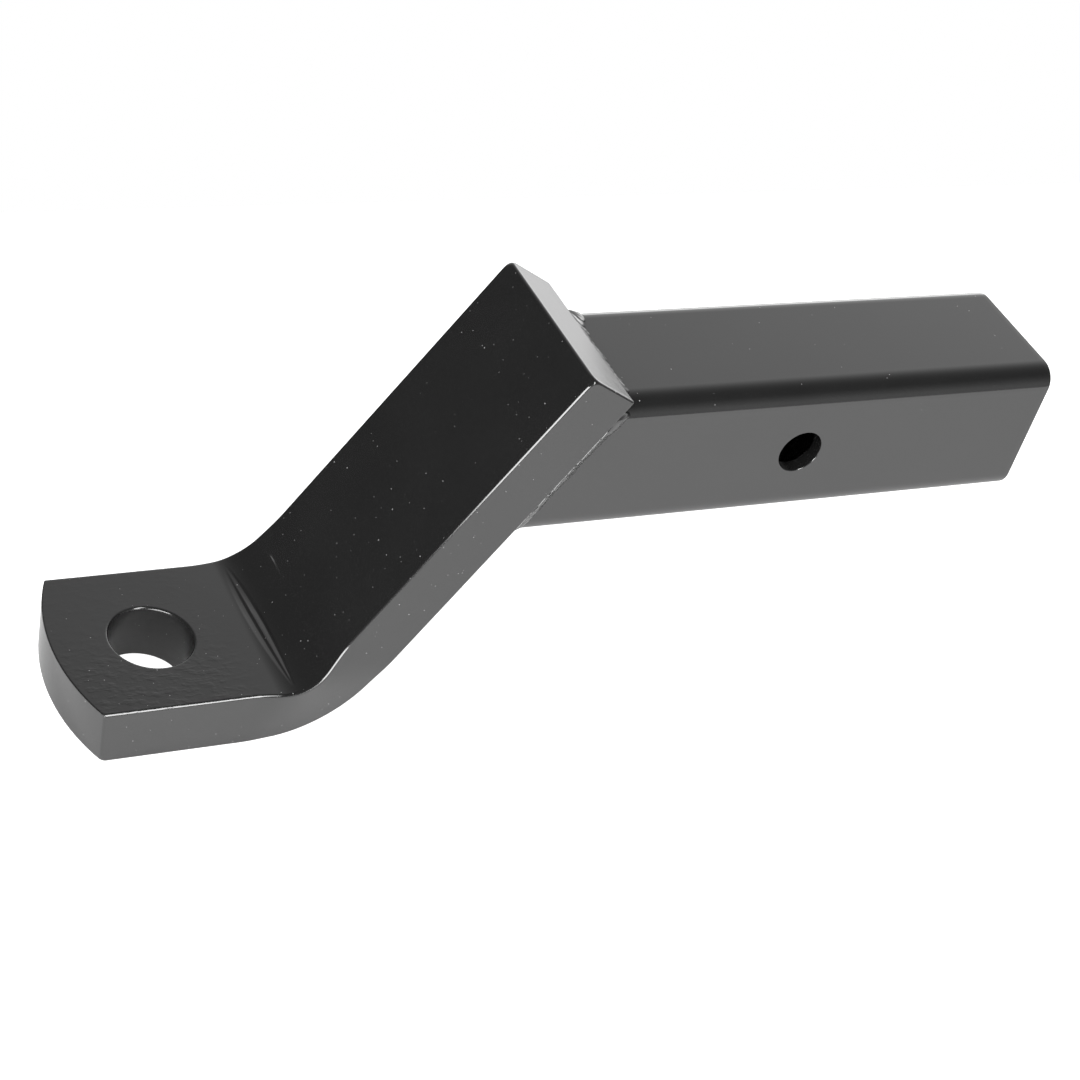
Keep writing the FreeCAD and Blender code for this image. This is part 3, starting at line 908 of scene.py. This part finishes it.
def soft_box(name, place, wide, high, roll, watts, mirrored=True):
    """A rectangular soft lamp that faces the mount and that the camera doesn't see. place is in metres.
    mirrored tells whether glossy faces show it."""
    lamp = bpy.data.lights.new(name, "AREA")
    lamp.shape = "RECTANGLE"
    lamp.size = wide
    lamp.size_y = high
    lamp.energy = watts
    holder = bpy.data.objects.new(name, lamp)
    facing = (Vector(mount_middle) - Vector(place)).to_track_quat("-Z", "Y").to_matrix().to_4x4()
    holder.matrix_world = Matrix.Translation(place) @ facing @ Matrix.Rotation(math.radians(roll), 4, "Z")
    holder.visible_camera = False
    holder.visible_glossy = mirrored
    bpy.context.scene.collection.objects.link(holder)


mount_middle = (-0.12, 0.0, -0.03)
soft_box("front_strip_box", (0.15, -0.83, 0.65), wide=0.28, high=0.95, roll=0, watts=7.6)
soft_box("left_strip_box", (-0.83, -1.0, 0.18), wide=1.25, high=0.36, roll=-24, watts=12.0)
soft_box("left_fill_box", (-0.80, -0.15, 0.70), wide=0.60, high=0.60, roll=0, watts=6.0, mirrored=False)

# The dark room and what it lights matt faces with, the white wall's way and width, how bright it and its
# foot are and how high the foot is, and the front's light and how fast that fades upwards
room_shade = 0.06
room_light = 0.42
wall_way = (0.70, 0.70, 0.0)
wall_narrowness = 3.0
wall_light = 1.19
wall_foot_light = 2.0
wall_foot_height = 0.2
front_light = 0.45
front_fade = 1.7


def studio_room():
    """White to the camera. Glossy faces see a white wall behind the mount, on the shank's side, that is
    brightest at its foot and fades into a dark room, and a dim front. The room lights matt faces evenly."""
    room = bpy.data.worlds.new("studio_room")
    bpy.context.scene.world = room
    room.use_nodes = True
    tree = room.node_tree
    tree.nodes.clear()
    way = Value.node(tree, "ShaderNodeTexCoord", {}, {}, "Generated")
    toward = Value.node(tree, "ShaderNodeVectorMath", {"operation": "DOT_PRODUCT"},
                        {0: way, 1: wall_way}, "Value")
    height = Value.node(tree, "ShaderNodeSeparateXYZ", {}, {0: way}, 2)
    foot = (1.0 - (height / wall_foot_height).maths("ABSOLUTE")).limit(0.0, 1.0)
    front = (Value.node(tree, "ShaderNodeSeparateXYZ", {}, {0: way}, 1) * -front_light).limit(0.0, 1.0)
    dim = front * (1.0 - height * front_fade).limit(0.0, 1.0)
    wall = toward.limit(0.0, 1.0).maths("POWER", wall_narrowness) * (wall_light + foot * wall_foot_light)
    mirrored = room_shade + wall + dim
    ray = Value.node(tree, "ShaderNodeLightPath", {}, {}, "Is Camera Ray")
    shiny = ray.other("Is Glossy Ray").maths("MAXIMUM", ray.other("Is Transmission Ray"))
    strength = ray + (1.0 - ray) * (shiny * mirrored + (1.0 - shiny) * room_light)
    light = Value.node(tree, "ShaderNodeBackground", {}, {"Color": (1, 1, 1, 1), "Strength": strength})
    Value.node(tree, "ShaderNodeOutputWorld", {}, {"Surface": light})


studio_room()
bpy.context.scene.view_settings.view_transform = "Standard"

# Camera
# It stands in front of the ball platform on the near side, looks down on the mount and is tilted.

camera_place = (-0.46787, -0.53012, 0.45180)
camera_yaw = math.radians(-36.928)
camera_pitch = math.radians(37.200)
camera_roll = math.radians(18.660)
camera_lens = 84.188

camera = bpy.data.objects.new("camera", bpy.data.cameras.new("camera"))
camera.data.lens = camera_lens
camera.data.sensor_width = 36.0
turned = Matrix.Rotation(camera_yaw, 4, "Z") @ Matrix.Rotation(math.radians(90) - camera_pitch, 4, "X")
camera.matrix_world = Matrix.Translation(camera_place) @ turned @ Matrix.Rotation(camera_roll, 4, "Z")
bpy.context.scene.collection.objects.link(camera)
bpy.context.scene.camera = camera
